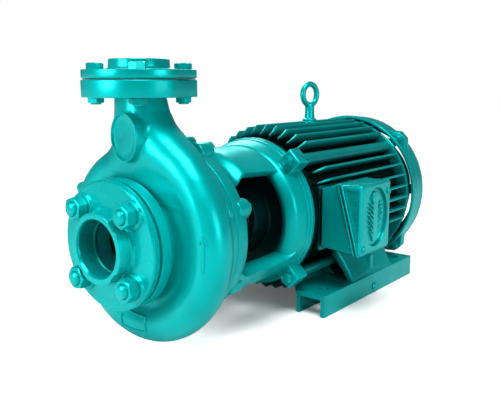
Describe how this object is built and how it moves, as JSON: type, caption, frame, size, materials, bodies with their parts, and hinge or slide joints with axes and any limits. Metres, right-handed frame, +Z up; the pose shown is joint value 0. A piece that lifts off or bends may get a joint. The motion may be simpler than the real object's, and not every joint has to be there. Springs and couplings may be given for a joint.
{
  "type": "centrifugal water pump",
  "caption": "Close-coupled centrifugal water pump: volute casing with flanged suction and discharge, open bracket, and finned foot-mounted motor with fan cowl.",
  "frame": {"origin": "middle of the box round the object, on the floor under the feet", "axes": "+X along the shaft from the suction flange to the fan cowl, +Y to the side away from the terminal box, +Z up"},
  "size_m": [0.6, 0.2921, 0.338],
  "materials": {
    "casting_paint": "glossy teal enamel over cast iron",
    "motor_paint": "teal enamel over finned cast iron",
    "fastener_paint": "teal enamel over steel fasteners",
    "bright_steel": "turned and ground steel",
    "electrical_steel": "stacked laminations",
    "bronze": "cast bronze",
    "copper_winding": "varnished copper wire",
    "rubber": "black rubber and fibre gasket",
    "plastic": "moulded black plastic",
    "seal_face": "lapped carbon and ceramic"
  },
  "bodies": {
    "housing": {"bracket_bolt_1": "fastener_paint", "bracket_bolt_2": "fastener_paint", "bracket_bolt_3": "fastener_paint", "bracket_bolt_4": "fastener_paint", "cable_gland": "plastic", "casing_bolt_1": "fastener_paint", "casing_bolt_2": "fastener_paint", "casing_bolt_3": "fastener_paint", "casing_bolt_4": "fastener_paint", "casing_cover": "casting_paint", "casing_gasket": "rubber", "discharge_bolt_1": "fastener_paint", "discharge_bolt_2": "fastener_paint", "discharge_bolt_3": "fastener_paint", "discharge_bolt_4": "fastener_paint", "discharge_companion_flange": "casting_paint", "discharge_gasket": "rubber", "earth_screw": "fastener_paint", "eyebolt": "fastener_paint", "fan_cowl": "motor_paint", "front_bearing_outer_ring": "bright_steel", "lid_screw_1": "fastener_paint", "lid_screw_2": "fastener_paint", "motor_bracket": "casting_paint", "motor_frame": "motor_paint", "rear_bearing_outer_ring": "bright_steel", "rear_end_shield": "motor_paint", "seal_seat": "seal_face", "stator_core": "electrical_steel", "stator_winding_front": "copper_winding", "stator_winding_rear": "copper_winding", "suction_companion_flange": "casting_paint", "suction_gasket": "rubber", "suction_nut_1": "fastener_paint", "suction_nut_2": "fastener_paint", "suction_nut_3": "fastener_paint", "suction_nut_4": "fastener_paint", "suction_stud_1": "fastener_paint", "suction_stud_2": "fastener_paint", "suction_stud_3": "fastener_paint", "suction_stud_4": "fastener_paint", "terminal_block": "plastic", "terminal_box": "casting_paint", "terminal_gasket": "rubber", "terminal_lid": "casting_paint", "volute_casing": "casting_paint"},
    "rotor": {"shaft": "bright_steel", "impeller": "bronze", "impeller_key": "bright_steel", "impeller_nut": "bright_steel", "seal_rotating_head": "seal_face", "seal_spring": "bright_steel", "slinger_ring": "rubber", "rotor_core": "electrical_steel", "cooling_fan": "plastic", "front_bearing_inner_ring": "bright_steel", "rear_bearing_inner_ring": "bright_steel"},
    "front_ball_cage": {"front_ball_cage": "bronze"},
    "rear_ball_cage": {"rear_ball_cage": "bronze"}
  },
  "joints": [
    {"name": "shaft_spin", "type": "hinge", "parent": "housing", "child": "rotor", "pos_m": [0, 0.02035, 0.132], "axis": [1, 0, 0], "continuous": true},
    {"name": "front_cage_spin", "type": "hinge", "parent": "housing", "child": "front_ball_cage", "pos_m": [-0.058, 0.02035, 0.132], "axis": [1, 0, 0], "continuous": true},
    {"name": "rear_cage_spin", "type": "hinge", "parent": "housing", "child": "rear_ball_cage", "pos_m": [0.2315, 0.02035, 0.132], "axis": [1, 0, 0], "continuous": true}
  ],
  "couplings": [
    {"joint": "front_cage_spin", "follows": "shaft_spin", "ratio": 0.3924},
    {"joint": "rear_cage_spin", "follows": "shaft_spin", "ratio": 0.3935}
  ]
}
